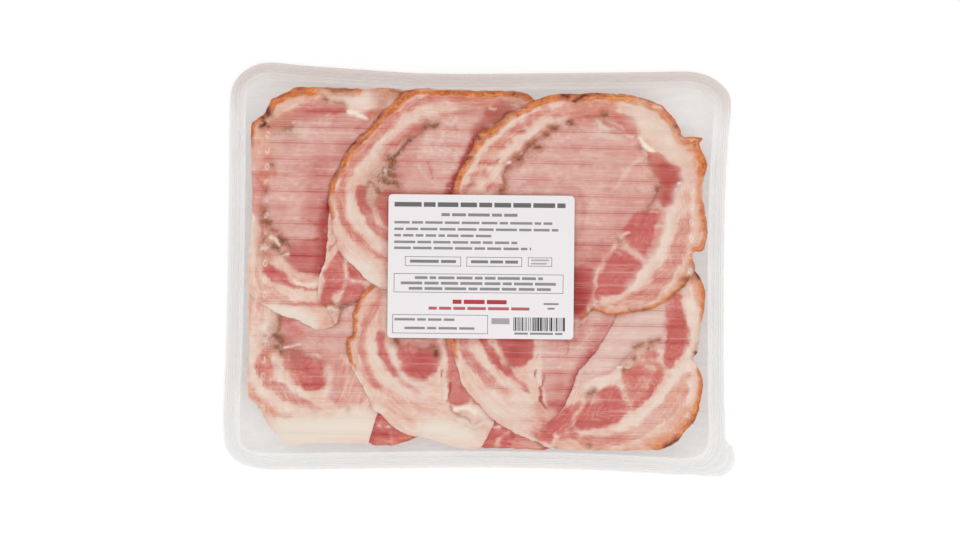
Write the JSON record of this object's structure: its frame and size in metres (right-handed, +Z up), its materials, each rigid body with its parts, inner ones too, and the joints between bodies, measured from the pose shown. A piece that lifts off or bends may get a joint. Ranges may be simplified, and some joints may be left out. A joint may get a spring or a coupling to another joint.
{
  "type": "sealed tray of sliced porchetta",
  "caption": "Flat clear tray pack of thin overlapping slices of rolled roast pork, film-sealed, with ribbed panel, peel tab and white label.",
  "frame": {"origin": "middle of the footprint, peel tab included, on the surface that the pack lies on", "axes": "+X along the long side and the ribs, towards the side with the peel tab; +Y across, away from the tab; +Z up, out of the ribbed panel"},
  "size_m": [0.2566, 0.2038, 0.0143],
  "materials": {
    "tray_plastic": "clear gloss",
    "sealing_film": "clear gloss",
    "label_paper": "smooth matt white",
    "roast_pork": "moist satin"
  },
  "bodies": {
    "root": {"tray": "tray_plastic", "film": "sealing_film", "label": "label_paper", "slice_top_left": "roast_pork", "slice_top_inner": "roast_pork", "slice_top_middle": "roast_pork", "slice_top_right": "roast_pork", "slice_low_left": "roast_pork", "slice_low_middle": "roast_pork", "slice_low_inner": "roast_pork", "slice_low_right": "roast_pork", "slice_under": "roast_pork"}
  },
  "joints": []
}
